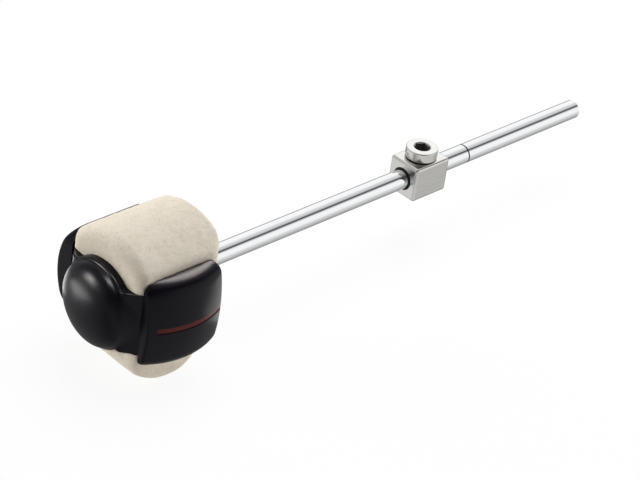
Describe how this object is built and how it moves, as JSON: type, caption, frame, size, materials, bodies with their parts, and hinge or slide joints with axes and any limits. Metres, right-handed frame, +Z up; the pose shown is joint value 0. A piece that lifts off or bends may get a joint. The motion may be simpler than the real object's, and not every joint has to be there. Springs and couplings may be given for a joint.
{
  "type": "bass drum beater",
  "caption": "Bass drum beater: chromed shaft with a head of straight and crowned felt and plastic striking faces, and a sliding balance weight clamped by a socket screw.",
  "frame": {"origin": "on the shaft's axis, halfway along the plain tail between the scribed setting ring and the tip, where a pedal's hub grips it", "axes": "+X along the shaft from the head to the free tip, +Z up the clamp screw of the balance weight at rest; the crowned plastic face looks along -Y and the straight felt along +Z"},
  "size_m": [0.267, 0.0581, 0.0582],
  "materials": {
    "chrome": "bright chrome plate, polished",
    "screw_steel": "bright plated steel",
    "satin_steel": "satin plated steel with softly rounded edges",
    "hardware_steel": "zinc plated steel",
    "felt": "dense pressed wool felt, cream",
    "black_plastic": "moulded black plastic with a soft gloss",
    "red_plastic": "dark red plastic strip",
    "bush_plastic": "black plain-bearing plastic",
    "nylon": "black glass-filled nylon",
    "brass": "turned brass"
  },
  "bodies": {
    "beater": {"shaft": "chrome", "rear_washer": "hardware_steel", "hub_core": "nylon", "upper_felt": "felt", "lower_felt": "felt", "face_yoke": "black_plastic", "crowned_plate": "black_plastic", "straight_plate": "black_plastic", "crowned_inlay": "red_plastic", "straight_inlay": "red_plastic", "front_washer": "hardware_steel", "spring_washer": "hardware_steel", "lock_nut": "hardware_steel", "nose_cap": "black_plastic"},
    "bushes": {"weight_bushes": "bush_plastic"},
    "weight": {"balance_weight": "satin_steel"},
    "pad": {"pressure_pad": "brass"},
    "screw": {"clamp_screw": "screw_steel"}
  },
  "joints": [
    {"name": "weight_slide", "type": "slide", "parent": "beater", "child": "bushes", "axis": [1, 0, 0], "range_m": [-0.1087, 0.0157]},
    {"name": "weight_turn", "type": "hinge", "parent": "bushes", "child": "weight", "pos_m": [-0.06, 0, 0], "axis": [1, 0, 0], "continuous": true},
    {"name": "pad_lift", "type": "slide", "parent": "weight", "child": "pad", "axis": [0, 0, 1], "range_m": [0, 0.0016]},
    {"name": "screw_turn", "type": "hinge", "parent": "pad", "child": "screw", "pos_m": [-0.06, 0, 0.008], "axis": [0, 0, 1], "range_deg": [0, 450]}
  ],
  "couplings": [
    {"joint": "pad_lift", "follows": "screw_turn", "m_per_rad": 0.00019894}
  ]
}
